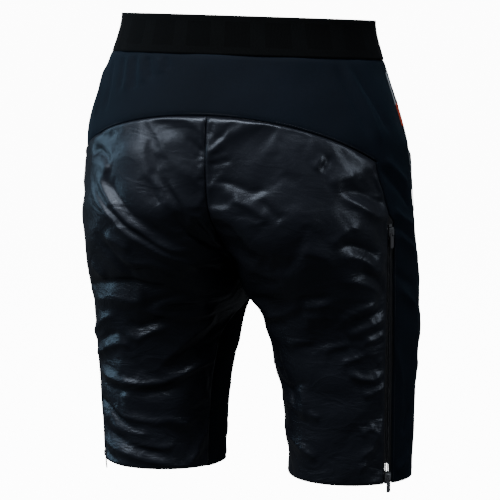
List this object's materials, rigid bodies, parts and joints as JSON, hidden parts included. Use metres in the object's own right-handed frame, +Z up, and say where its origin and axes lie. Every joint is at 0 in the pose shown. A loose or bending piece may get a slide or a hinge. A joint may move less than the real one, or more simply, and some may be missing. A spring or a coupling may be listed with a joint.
{
  "type": "padded impact shorts",
  "caption": "Insulated padded shorts with an exposed elastic waistband, stretch yoke and side panels, full-length side zips and side pockets.",
  "frame": {"origin": "centre of the waist opening, midway between the rim's sides, front and back", "axes": "+Z up, from the hems to the waist; the wearer faces -Y; +X is the wearer's left"},
  "size_m": [0.398, 0.2951, 0.5613],
  "materials": {
    "elastic_webbing": "matte ribbed woven elastic",
    "stretch_softshell": "matte stretch softshell, fine twill",
    "shell_nylon": "glossy crumpled light nylon",
    "wadding": "lofty synthetic insulation",
    "lining": "light satin lining",
    "woven_tape": "woven polyester zip tape",
    "zip_coil": "moulded nylon coil",
    "zip_metal": "tumbled nickel plate",
    "pull_rubber": "matte moulded rubber",
    "accent_tab": "matte orange-red moulded tab",
    "reflective_trim": "grey retroreflective tape"
  },
  "bodies": {
    "shorts": {"waistband_elastic": "elastic_webbing", "back_yoke": "stretch_softshell", "front_yoke": "stretch_softshell", "hanger_loop": "woven_tape", "seat_shell_left": "shell_nylon", "seat_wadding_left": "wadding", "seat_lining_left": "lining", "thigh_shell_left": "shell_nylon", "thigh_wadding_left": "wadding", "thigh_lining_left": "lining", "side_panel_left": "stretch_softshell", "inner_thigh_left": "stretch_softshell", "hem_facing_left": "lining", "zip_tape_rear_left": "woven_tape", "zip_coil_rear_left": "zip_coil", "zip_tape_front_left": "woven_tape", "zip_coil_front_left": "zip_coil", "zip_top_stop_left": "zip_metal", "zip_bottom_stop_left": "zip_metal", "pocket_tape_rear_left": "woven_tape", "pocket_coil_rear_left": "zip_coil", "pocket_tape_front_left": "woven_tape", "pocket_coil_front_left": "zip_coil", "pocket_bag_left": "lining", "reflective_upper_left": "reflective_trim", "reflective_lower_left": "reflective_trim", "seat_shell_right": "shell_nylon", "seat_wadding_right": "wadding", "seat_lining_right": "lining", "thigh_shell_right": "shell_nylon", "thigh_wadding_right": "wadding", "thigh_lining_right": "lining", "side_panel_right": "stretch_softshell", "inner_thigh_right": "stretch_softshell", "hem_facing_right": "lining", "zip_tape_rear_right": "woven_tape", "zip_coil_rear_right": "zip_coil", "zip_tape_front_right": "woven_tape", "zip_coil_front_right": "zip_coil", "zip_top_stop_right": "zip_metal", "zip_bottom_stop_right": "zip_metal", "pocket_tape_rear_right": "woven_tape", "pocket_coil_rear_right": "zip_coil", "pocket_tape_front_right": "woven_tape", "pocket_coil_front_right": "zip_coil", "pocket_bag_right": "lining", "reflective_upper_right": "reflective_trim", "reflective_lower_right": "reflective_trim"},
    "zip_upper_slider_left": {"zip_upper_slider_left": "zip_metal"},
    "zip_upper_pull_left": {"zip_upper_pull_left": "pull_rubber"},
    "zip_lower_slider_left": {"zip_lower_slider_left": "zip_metal"},
    "zip_lower_pull_left": {"zip_lower_pull_left": "pull_rubber"},
    "pocket_slider_left": {"pocket_slider_left": "zip_metal"},
    "pocket_pull_left": {"pocket_pull_left": "accent_tab"},
    "zip_upper_slider_right": {"zip_upper_slider_right": "zip_metal"},
    "zip_upper_pull_right": {"zip_upper_pull_right": "pull_rubber"},
    "zip_lower_slider_right": {"zip_lower_slider_right": "zip_metal"},
    "zip_lower_pull_right": {"zip_lower_pull_right": "pull_rubber"},
    "pocket_slider_right": {"pocket_slider_right": "zip_metal"},
    "pocket_pull_right": {"pocket_pull_right": "accent_tab"}
  },
  "joints": [
    {"name": "zip_upper_slide_left", "type": "slide", "parent": "shorts", "child": "zip_upper_slider_left", "axis": [-0.0331, -0.1298, -0.991], "range_m": [0, 0.135]},
    {"name": "zip_upper_pull_swing_left", "type": "hinge", "parent": "zip_upper_slider_left", "child": "zip_upper_pull_left", "pos_m": [0.19067, 0.03008, -0.24161], "axis": [0.2679, -0.957, 0.1115], "range_deg": [0, 130]},
    {"name": "zip_lower_slide_left", "type": "slide", "parent": "shorts", "child": "zip_lower_slider_left", "axis": [0.0341, 0.1267, 0.9914], "range_m": [0, 0.135]},
    {"name": "zip_lower_pull_swing_left", "type": "hinge", "parent": "zip_lower_slider_left", "child": "zip_lower_pull_left", "pos_m": [0.18027, -0.00715, -0.53671], "axis": [0.5147, -0.8527, 0.0897], "range_deg": [0, 130]},
    {"name": "pocket_slide_left", "type": "slide", "parent": "shorts", "child": "pocket_slider_left", "axis": [-0.2719, 0.1318, 0.9533], "range_m": [-0.036, 0.032]},
    {"name": "pocket_pull_swing_left", "type": "hinge", "parent": "pocket_slider_left", "child": "pocket_pull_left", "pos_m": [0.17825, -0.01609, -0.09653], "axis": [-0.1791, -0.9802, 0.0844], "range_deg": [0, 130]},
    {"name": "zip_upper_slide_right", "type": "slide", "parent": "shorts", "child": "zip_upper_slider_right", "axis": [0.0331, -0.1298, -0.991], "range_m": [0, 0.135]},
    {"name": "zip_upper_pull_swing_right", "type": "hinge", "parent": "zip_upper_slider_right", "child": "zip_upper_pull_right", "pos_m": [-0.19067, 0.03008, -0.24161], "axis": [0.2679, 0.957, -0.1115], "range_deg": [0, 130]},
    {"name": "zip_lower_slide_right", "type": "slide", "parent": "shorts", "child": "zip_lower_slider_right", "axis": [-0.0341, 0.1267, 0.9914], "range_m": [0, 0.135]},
    {"name": "zip_lower_pull_swing_right", "type": "hinge", "parent": "zip_lower_slider_right", "child": "zip_lower_pull_right", "pos_m": [-0.18027, -0.00715, -0.53671], "axis": [0.5147, 0.8527, -0.0897], "range_deg": [0, 130]},
    {"name": "pocket_slide_right", "type": "slide", "parent": "shorts", "child": "pocket_slider_right", "axis": [0.2719, 0.1318, 0.9533], "range_m": [-0.036, 0.032]},
    {"name": "pocket_pull_swing_right", "type": "hinge", "parent": "pocket_slider_right", "child": "pocket_pull_right", "pos_m": [-0.17825, -0.01609, -0.09653], "axis": [-0.1791, 0.9802, -0.0844], "range_deg": [0, 130]}
  ]
}
